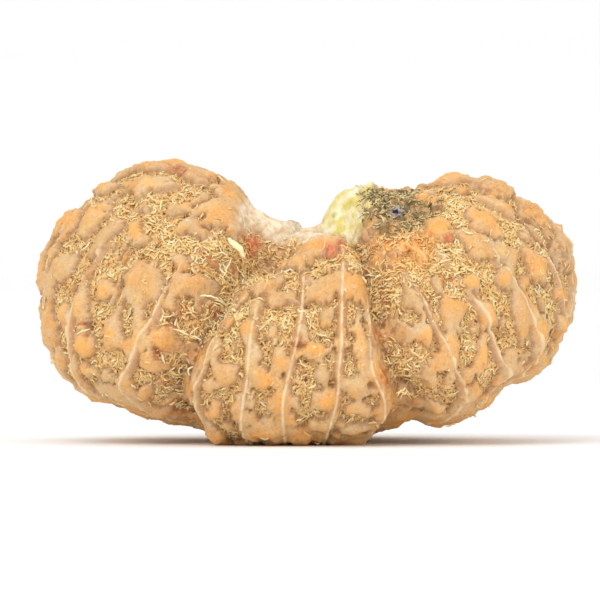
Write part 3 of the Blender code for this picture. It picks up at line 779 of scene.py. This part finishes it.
def skin_data():
    """The finished skin: points, faces, the way out at each point, and what the materials read there."""
    turn, fall, rings, last = skin_grid()
    base = body(turn, fall)
    fade = clamp(np.sin(math.pi * fall) / POLE_FADE)
    cuts, groove = groove_cuts(turn, fall)
    slow, web, quick = (cloud(base, *layer) for layer in CLOUDS)
    gap = seam_gap(turn, fall)
    middle_x, lobe_reach, later = OUTER_LOBES
    later = later * clamp(np.abs(base[:, 0] - middle_x) / lobe_reach)
    clear = smooth_step(fall + SEAM_WAVER * slow - later, *SEAM_CLEAR)

    tubercles = [np.concatenate(pair) for pair in zip(all_tubercles(), small_tubercles())]
    field, top, which = tubercle_field(base, tubercles)
    columns = np.stack([HALF_WIDTH * np.cos(turn), HALF_DEPTH * np.sin(turn)], axis=1) / RIDGE_ACROSS
    ridges = cloud(np.column_stack([columns, MERIDIAN * fall / RIDGE_DOWN]), *RIDGES)
    field += FIELD_GAIN + sum(share * layer for share, layer in zip(FIELD_NOISE, (ridges, web, quick)))
    field += SEAM_GAIN * clear * np.exp(-((gap / SEAM_REACH) ** 2)) - GROOVE_LOSS * groove
    field -= BACK_LOSS * clamp(0.5 + BACK_EDGE * base[:, 1] / DEPTH)
    for middle, half, strength in THICKETS:
        field -= strength * np.exp(-share_out(base, middle, half))
    field = np.maximum(field, 0.0)
    height = smooth_step(field, *PLATEAU_EDGE)
    dome = clamp(field / FULL_FIELD)
    relief = RELIEF * (PLATEAU_SHARE * height + (1.0 - PLATEAU_SHARE) * dome)
    relief += height * (LUMPS[0] * web + LUMPS[1] * quick)
    floor = CREVICE_FLOOR + FLOOR_ROUGHNESS[0] * web + FLOOR_ROUGHNESS[1] * quick
    relief = np.maximum(relief, floor * (1.0 - height))
    relief = np.maximum(relief, foot_relief(base))

    band = 1.0 / (1.0 + (gap / BAND_WIDTH) ** 4)
    band_level = BAND_HEIGHT * (BAND_COVERED + (1.0 - BAND_COVERED) * clear) * band
    on_band = smooth_step(band_level - relief, *BAND_EDGE)
    relief = np.maximum(relief, band_level)
    whole, by_web, by_slow = SEAM_BREAKS
    unbroken = clamp(whole + by_web * web + by_slow * slow)
    line = np.exp(-((gap / SEAM_WIDTH) ** 2)) * (clear + (1.0 - clear) * LINE_COVERED * unbroken)
    line *= LINE_BROKEN + (1.0 - LINE_BROKEN) * unbroken
    relief += fade * SEAM_HEIGHT * line
    height = np.maximum(height, band * (0.25 + 0.55 * clear))

    across, up = MM * np.array(PITS, float)[:, :2].T
    stretch = 1.0 + PIT_WAVER * quick
    pits = spots(base, front_point(across, up), PITS, stretch) * (1.0 - 0.8 * line)
    dents = small_pits(base, height, stretch) * (1.0 - band)
    relief -= np.minimum(PIT_DEPTH * pits + SMALL_PIT_DEPTH * dents, relief)
    relief = relief * (1.0 - GROOVE_CALM * groove) - CREVICE_DEPTH - cuts

    wander = PATCH_WANDER * slow
    pulp = patch(base, *PULP, wander)
    relief += PULP_RISE * pulp * (1.0 + PULP_LUMPS * slow)
    for middle, half, distance in OUTLINE_FITS:
        relief += MM * distance * np.exp(-share_out(base, middle, half))
    way_out = outward(turn, fall)
    points = settled(base + way_out * relief[:, None])
    tints = np.random.default_rng(SEED + 2).random(len(tubercles[0]) + 1)
    marks = {"height": height, "top": top, "tint": tints[which], "groove": groove, "pulp": pulp}
    # The dark mark carries the pits and small dents for painted shade
    marks |= {"seam": fade * line, "band": on_band * band, "dark": np.maximum(pits, SMALL_PIT_SHADE * dents)}
    for name, place, rough in (("tissue", TISSUE, 1.0), ("fuzz", FUZZ, 2.0), ("orange", ORANGE, 1.6)):
        marks[name] = patch(points, *place, rough * wander)
    for name, table in (("rust", RUST), ("ember", EMBER), ("hole", HOLE), ("rim", HOLE_RIM)):
        marks[name] = spots(points, seen_points(points, way_out, table), table)
    return points, faces_between(rings, last), way_out, marks, turn


def mesh_object(name, points, faces, material, marks):
    """A smooth mesh object that rides on the bead's body and takes the material it is given."""
    mesh = bpy.data.meshes.new(name)
    mesh.from_pydata(points.tolist(), [], faces)
    for key, values in marks.items():
        mesh.attributes.new(key, "FLOAT", "POINT").data.foreach_set("value", np.asarray(values, np.float32))
    mesh.shade_smooth()
    mesh.materials.append(material)
    obj = bpy.data.objects.new(name, mesh)
    bpy.context.scene.collection.objects.link(obj)
    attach(obj, "root")
    return obj


class Nodes:
    """Short ways to lay out a material's nodes."""

    def __init__(self, name):
        self.material = bpy.data.materials.new(name)
        self.material.use_nodes = True
        self.tree = self.material.node_tree
        self.shader = self.tree.nodes["Principled BSDF"]

    def put(self, socket, value):
        if isinstance(value, bpy.types.NodeSocket):
            self.tree.links.new(value, socket)
        else:
            socket.default_value = value

    def surface(self, name, value):
        self.put(self.shader.inputs[name], value)

    def node(self, kind, inputs):
        node = self.tree.nodes.new("ShaderNode" + kind)
        for name, value in inputs.items():
            self.put(node.inputs[name], value)
        return node

    def mark(self, name):
        node = self.node("Attribute", {})
        node.attribute_name = name
        return node.outputs["Fac"]

    def noise(self, size, detail=3.0, rough=0.55):
        """Noise with features of about the given size in millimetres."""
        place = self.node("TexCoord", {}).outputs["Object"]
        form = {"Vector": place, "Scale": 1.0 / (size * MM), "Detail": detail, "Roughness": rough}
        return self.node("TexNoise", form).outputs["Fac"]

    def ramp(self, value, low, high):
        """Takes low to 0 and high to 1."""
        node = self.node("MapRange", {"Value": value, "From Min": low, "From Max": high})
        node.clamp = True
        return node.outputs["Result"]

    def blots(self, size, low, high, *form):
        """Noise of the given size, taken from low to 0 and from high to 1."""
        return self.ramp(self.noise(size, *form), low, high)

    def math(self, kind, a, b):
        node = self.node("Math", {0: a, 1: b})
        node.operation = kind
        return node.outputs[0]

    def times(self, *values):
        product = values[0]
        for value in values[1:]:
            product = self.math("MULTIPLY", product, value)
        return product

    def strands(self, size, half_width):
        """Thin curly lines, where a noise passes its middle value."""
        gap = self.math("ABSOLUTE", self.math("SUBTRACT", self.noise(size, 1.5, 0.6), 0.5), 0.0)
        return self.ramp(gap, half_width, 0.4 * half_width)

    def mix(self, share, *colours):
        """The second colour over the first. A tuple is a tone as it looks on a screen."""
        node = self.node("Mix", {})
        node.data_type = "RGBA"
        self.put(node.inputs["Factor"], share)
        for name, colour in zip("AB", colours):
            self.put(node.inputs[name], tone(*colour) if isinstance(colour, tuple) else colour)
        return node.outputs["Result"]

    def paint(self, colour, *shares):
        """Lays a colour over what is there, as strongly as its shares' product."""
        self.colour = self.mix(self.times(*shares), self.colour, colour)

    def bump(self, height, distance, strength):
        node = self.node("Bump", {"Strength": strength, "Distance": distance, "Height": height})
        self.surface("Normal", node.outputs["Normal"])


def tone(red, green, blue):
    """A colour given as it looks on a screen, from 0 to 255."""
    linear = [((c / 255 + 0.055) / 1.055) ** 2.4 for c in (red, green, blue)]
    return (*linear, 1.0)


def skin_material():
    n = Nodes("bead_skin")
    height, top, tint, groove = (n.mark(name) for name in ("height", "top", "tint", "groove"))
    fine = n.noise(0.14, 3.0, 0.65)
    n.colour = n.mix(n.blots(1.9, 0.38, 0.62), (226, 162, 84), (226, 186, 126))
    n.paint((206, 172, 124), n.ramp(tint, 0.45, 0.9), 0.50)
    n.paint((200, 146, 86), n.blots(0.55, 0.50, 0.62), 0.40)
    # Amber on the crowns of some tubercles: their own tone, laid on lighter towards each crown as a painted
    # highlight
    n.paint((240, 172, 82), n.ramp(top, 0.30, 0.90), n.ramp(tint, 0.90, 0.30), 0.85)
    # Painted shade: the skin turns darker where it lies lower, in the crevices and on the plateaus' flanks
    n.paint((188, 142, 96), n.ramp(height, 0.98, 0.50), 0.60)
    haze = n.math("MAXIMUM", n.blots(1.1, 0.46, 0.60), n.times(groove, 0.8))
    n.paint((212, 184, 146), haze, n.ramp(fine, 0.38, 0.56), n.ramp(top, 1.0, 0.45), 0.75)
    n.paint((252, 222, 174), n.blots(0.13, 0.56, 0.66, 2.0), 0.30)
    n.paint((176, 120, 70), n.blots(0.24, 0.42, 0.34), 0.40)

    strands = n.math("MAXIMUM", n.strands(0.42, 0.085), n.strands(0.27, 0.075))
    # The crevice floor: its own tan, and dark brown as painted shade in the gaps between the painted straw
    # strands
    gap_floor_and_shade = n.mix(n.blots(0.24, 0.42, 0.60, 3.0, 0.7), (120, 70, 32), (206, 146, 84))
    low = n.ramp(n.math("ADD", height, n.times(n.noise(0.28), 0.30)), 0.56, 0.40)
    n.paint(n.mix(n.times(strands, 0.75), gap_floor_and_shade, (252, 214, 148)), low)
    # Painted shade: a darker brown line along the foot of each plateau, where it drops into the crevices
    foot = n.times(n.ramp(height, 0.10, 0.40), n.ramp(height, 0.90, 0.55), 0.45)
    n.paint((146, 92, 48), foot, n.blots(0.35, 0.40, 0.55))

    shell = n.mix(n.blots(1.2, 0.4, 0.6), (180, 142, 104), (198, 170, 140))
    n.paint(shell, groove, n.blots(0.8, 0.42, 0.56), 0.60)
    n.paint((148, 92, 46), groove, n.blots(0.5, 0.48, 0.57, 4.0, 0.65), 0.85)
    n.paint((184, 100, 50), n.mark("rust"), n.blots(0.40, 0.40, 0.56))
    n.paint((222, 176, 132), n.mark("band"), 0.40)
    n.paint((236, 208, 164), n.ramp(n.mark("seam"), 0.25, 0.80))

    warm = n.mix(n.blots(0.30, 0.42, 0.58, 3.0, 0.7), (232, 148, 76), (252, 200, 118))
    n.paint(warm, n.mark("orange"), n.blots(0.9, 0.36, 0.54), 0.85)
    n.paint(n.mix(n.blots(0.5, 0.38, 0.62), (220, 190, 148), (244, 230, 202)), n.mark("tissue"))
    pulp = n.mix(n.blots(0.9, 0.40, 0.60), (232, 214, 128), (250, 242, 206))
    n.paint(n.mix(n.blots(1.7, 0.54, 0.66), pulp, (206, 200, 96)), n.mark("pulp"))
    red = n.mix(n.ramp(fine, 0.35, 0.60), (186, 70, 40), (232, 132, 84))
    n.paint(red, n.mark("ember"), n.blots(0.28, 0.36, 0.50, 3.0, 0.7))
    n.paint((140, 120, 76), n.mark("fuzz"), n.blots(0.60, 0.44, 0.56, 4.0, 0.7))
    n.paint((212, 198, 204), n.ramp(n.mark("rim"), 0.60, 0.75))
    # Painted shade: darker brown in the pits and small dents
    n.paint((122, 72, 38), n.ramp(n.mark("dark"), 0.45, 0.95), 0.70)
    # Painted shade: near-black inside the stem hole, which the skin only dents
    n.paint((40, 40, 52), n.ramp(n.mark("hole"), 0.4, 0.7))
    n.surface("Base Color", n.colour)
    n.surface("Roughness", n.ramp(low, -1.1, 1.4))
    grain = n.math("ADD", n.times(fine, 0.35), n.times(low, strands, 0.9))
    n.bump(n.math("ADD", grain, n.times(n.noise(0.45), 0.6)), 0.09 * MM, 0.55)
    n.surface("Subsurface Weight", 0.14)
    n.surface("Subsurface Radius", (1.0, 0.75, 0.4))
    n.surface("Subsurface Scale", 0.4 * MM)
    return n.material


def thread_material(name, first, steps, warmth, rough):
    """A colour for each thread by its shade, turned to orange where its mark says warm."""
    n = Nodes(name)
    shade = n.mark("shade")
    n.colour = first
    for low, high, later in steps:
        n.paint(later, n.ramp(shade, low, high))
    n.paint(n.mix(shade, (240, 156, 76), (255, 216, 136)), n.mark("warm"), warmth)
    n.surface("Base Color", n.colour)
    n.surface("Roughness", rough)
    n.bump(n.noise(0.05), 0.01 * MM, 0.4)
    return n.material


class Skin:
    """The skin's points, the way out at each of them, and a quick way to find the one nearest to a place."""

    def __init__(self, points, way_out):
        self.points = points
        self.way_out = way_out
        self.tree = kdtree.KDTree(len(points))
        for k, point in enumerate(points):
            self.tree.insert(point, k)
        self.tree.balance()

    def laid_on(self, places):
        """Moves places along the way out until they lie on the skin. It gives them and the way out there."""
        near = [self.tree.find(place)[1] for place in places]
        way = self.way_out[near]
        height = ((self.points[near] - places) * way).sum(axis=1, keepdims=True)
        return places + height * way, way

    def areas(self):
        """A share of the surface for each point, so that seats are even over it and not over the mesh."""
        return np.array([self.tree.find_n(point, 5)[4][2] ** 2 for point in self.points])


def tubes(spine, ways, radius, flatness, sides):
    """Points and faces of tapering tubes. Each step of the spine holds one point for every tube."""
    spine, way = np.stack(spine, axis=1), np.stack(ways, axis=1)
    count, steps = spine.shape[:2]
    heading = np.gradient(spine, axis=1)
    side = unit(np.cross(heading, way))
    middle = 2.0 * np.arange(steps) / (steps - 1) - 1.0
    width = radius[:, None, None] * (1.0 - TUBE_TAPER * np.abs(middle) ** 3)[:, None]
    corners = []
    for k in range(sides):
        angle = 2 * math.pi * (k + 0.5) / sides
        corners.append(spine + width * (math.cos(angle) * side + flatness * math.sin(angle) * way))
    points = np.clip(np.stack(corners, axis=2), BOX_LOW, BOX_HIGH).reshape(-1, 3)
    pattern = [tuple(range(sides)), tuple(range(sides * steps - 1, sides * (steps - 1) - 1, -1))]
    for k in range(steps - 1):
        for corner in range(sides):
            a, b = sides * k + corner, sides * k + (corner + 1) % sides
            pattern.append((a, a + sides, b + sides, b))
    faces = [tuple(sides * steps * k + corner for corner in face) for k in range(count) for face in pattern]
    return points, faces


def threads(skin, seats, draw, lengths, radii):
    """Curly threads that wander over the skin from their seats."""
    count = len(seats)
    at, way = skin.points[seats], skin.way_out[seats]
    heading = unit(np.cross(way, draw.normal(size=(count, 3))))
    step = draw.uniform(*lengths, (count, 1)) / (FIBRE_POINTS - 1)
    curl = draw.normal(0.0, FIBRE_CURL, (count, 1))
    lift = draw.uniform(*FIBRE_LIFT, (count, 1))
    spine, ways = [at + lift * way], [way]
    for _ in range(FIBRE_POINTS - 1):
        angle = curl + draw.normal(0.0, FIBRE_SWERVE, (count, 1))
        heading = heading * np.cos(angle) + np.cross(way, heading) * np.sin(angle)
        at, way = skin.laid_on(at + step * heading)
        heading = unit(heading - (heading * way).sum(axis=1, keepdims=True) * way)
        spine.append(at + lift * draw.uniform(*FIBRE_BOB, (count, 1)) * way)
        ways.append(way)
    return tubes(spine, ways, draw.uniform(*radii, count), FIBRE_FLATNESS, FIBRE_SIDES)


def add_threads(name, skin, chance, count, draw, material, warm, lengths, radii):
    seats = draw.choice(len(chance), count, p=chance / chance.sum())
    points, faces = threads(skin, seats, draw, lengths, radii)
    each = FIBRE_POINTS * FIBRE_SIDES
    marks = {"shade": np.repeat(draw.random(count), each), "warm": np.repeat(warm[seats], each)}
    mesh_object(name, points, faces, material, marks)


def fibre_weight(points, marks, patchy):
    """How thickly fibres lie at each point of the skin: in crevices, and most on the upper right."""
    slope, power, least = FIBRE_THINNING
    low = clamp(1.0 - slope * marks["height"]) ** power + least
    beyond = clamp((points[:, ::2] - UPPER_RIGHT) / UPPER_RIGHT_FADE).prod(axis=1)
    weight = low * (0.30 + np.clip(0.5 + patchy, 0.0, 1.2)) * (1.0 + UPPER_RIGHT_GAIN * beyond)
    weight *= clamp(1.0 - marks["pulp"] - marks["tissue"] - marks["fuzz"])
    weight *= (1.0 + 2.0 * marks["orange"]) * (1.0 + 1.2 * marks["groove"])
    return weight * (1.0 - marks["seam"]) * (1.0 - 0.8 * marks["band"])


def add_fibres(skin, marks, turn):
    draw = np.random.default_rng(FIBRE_SEED)
    patchy = cloud(skin.points, 2.4 * MM, 3, 23.0)
    areas = skin.areas()
    weight = fibre_weight(skin.points, marks, patchy) * areas
    warm = np.maximum(marks["orange"], marks["ember"])
    degrees = np.degrees(turn) % 360.0
    straw = thread_material("straw_fibre", *STRAW_TONES, 0.7, 0.7)
    for name, first, last, count in FIBRE_PIECES:
        inside = (degrees - first) % 360.0 < (last - first)
        chance = np.where(inside, weight, 0.0)
        add_threads(name, skin, chance, count, draw, straw, warm, FIBRE_LENGTH, FIBRE_RADIUS)
    seats = draw.choice(len(weight), CRUMBS, p=weight / weight.sum())
    crumbs(skin.points[seats], skin.way_out[seats], warm[seats], draw, straw)
    chance = marks["fuzz"] * (0.1 + clamp(0.4 + 1.5 * patchy)) * (1.0 - marks["rim"]) * areas
    fuzz = thread_material("dark_fuzz", *FUZZ_TONES, 0.0, 0.9)
    add_threads("dark_fuzz", skin, chance, FUZZ_THREADS, draw, fuzz, warm, FUZZ_LENGTH, FUZZ_RADIUS)
    add_straws("stray_straws", skin, STRAWS, 1.0, straw)
    add_straws("straw_chip", skin, (CHIP,), CHIP_FLATNESS, straw)


def add_straws(name, skin, table, flatness, material):
    """Straws from one place seen from the front to another, each laid on the skin with a slight bow."""
    rows = np.array(table, float)
    steps = np.linspace(0.0, 1.0, 2 * FIBRE_POINTS)
    spine, ways = [], []
    for step in steps:
        bow = STRAW_BOW * math.sin(math.pi * step)
        x = MM * (rows[:, 0] + step * (rows[:, 2] - rows[:, 0]))
        z = MM * (rows[:, 1] + step * (rows[:, 3] - rows[:, 1]) + bow)
        at, way = skin.laid_on(front_point(x, z))
        spine.append(at + STRAW_LIFT * way)
        ways.append(way)
    points, faces = tubes(spine, ways, MM * rows[:, 4], flatness, STRAW_SIDES)
    each = STRAW_SIDES * len(steps)
    marks = {"shade": np.repeat(rows[:, 5], each), "warm": np.zeros(len(points))}
    mesh_object(name, points, faces, material, marks)


def crumbs(seats, way, warm, draw, material):
    """Small eight-sided flakes among the fibres."""
    count = len(seats)
    radius = draw.uniform(*CRUMB_RADIUS, count)[:, None]
    side = unit(np.cross(way, draw.normal(size=(count, 3))))
    corners = []
    for axis, stretch in zip((side, np.cross(way, side), way), CRUMB_FORM):
        for sign in (1.0, -1.0):
            corners.append(seats + sign * stretch * radius * draw.uniform(*CRUMB_SPREAD, (count, 1)) * axis)
    points = np.clip(np.stack(corners, axis=1), BOX_LOW, BOX_HIGH).reshape(-1, 3)
    pattern = ((0, 2, 4), (2, 1, 4), (1, 3, 4), (3, 0, 4), (2, 0, 5), (1, 2, 5), (3, 1, 5), (0, 3, 5))
    faces = [tuple(6 * k + corner for corner in face) for k in range(count) for face in pattern]
    marks = {"shade": np.repeat(draw.random(count), 6), "warm": np.repeat(warm, 6)}
    mesh_object("crumbs", points, faces, material, marks)


def studio():
    """A pale floor that rises into a backdrop, soft lights, and the camera level with the bead's middle."""
    scene = bpy.context.scene
    scene.view_settings.view_transform = "Standard"
    world = bpy.data.worlds.new("studio")
    world.use_nodes = True
    light = world.node_tree.nodes["Background"].inputs
    light["Color"].default_value = (1.0, 1.0, 1.0, 1.0)
    light["Strength"].default_value = WORLD_LIGHT
    scene.world = world

    floor = bpy.data.meshes.new("floor")
    corners = [(x, y, z) for y, z in FLOOR_RUN for x in (-FLOOR_HALF, FLOOR_HALF)]
    strips = [(2 * k, 2 * k + 1, 2 * k + 3, 2 * k + 2) for k in range(len(FLOOR_RUN) - 1)]
    floor.from_pydata(corners, [], strips)
    floor.shade_smooth()
    paper = Nodes("pale_floor")
    paper.surface("Base Color", (0.96, 0.96, 0.96, 1.0))
    paper.surface("Roughness", 0.9)
    floor.materials.append(paper.material)
    backdrop = bpy.data.objects.new("floor", floor)
    scene.collection.objects.link(backdrop)

    for name, place, size, watts in LAMPS:
        light = bpy.data.lights.new(name, "AREA")
        light.size = size
        light.energy = watts
        lamp = bpy.data.objects.new(name, light)
        lamp.location = place
        lamp.rotation_euler = (Vector(LAMP_AIM) - Vector(place)).to_track_quat("-Z", "Y").to_euler()
        scene.collection.objects.link(lamp)

    metres_per_px = WIDTH / BEAD_WIDTH_PX
    middle_x = (BOX_LOW[0] + BOX_HIGH[0]) / 2 + (FRAME_PX / 2 - BEAD_MIDDLE_PX) * metres_per_px
    middle_z = BOX_LOW[2] + (GROUND_PX - FRAME_PX / 2) * metres_per_px
    camera = bpy.data.cameras.new("camera")
    camera.lens = LENS_MM
    camera.sensor_width = SENSOR_MM
    distance = FRAME_PX * metres_per_px * LENS_MM / SENSOR_MM
    eye = bpy.data.objects.new("camera", camera)
    eye.location = (middle_x, -distance, middle_z)
    eye.rotation_euler = (math.radians(90), 0.0, 0.0)
    scene.collection.objects.link(eye)
    scene.camera = eye


def main():
    points, faces, way_out, marks, turn = skin_data()
    skin = mesh_object("bead_skin", points, faces, skin_material(), marks)
    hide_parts("bead")
    add_fibres(Skin(points, way_out), marks, turn)
    studio()


main()
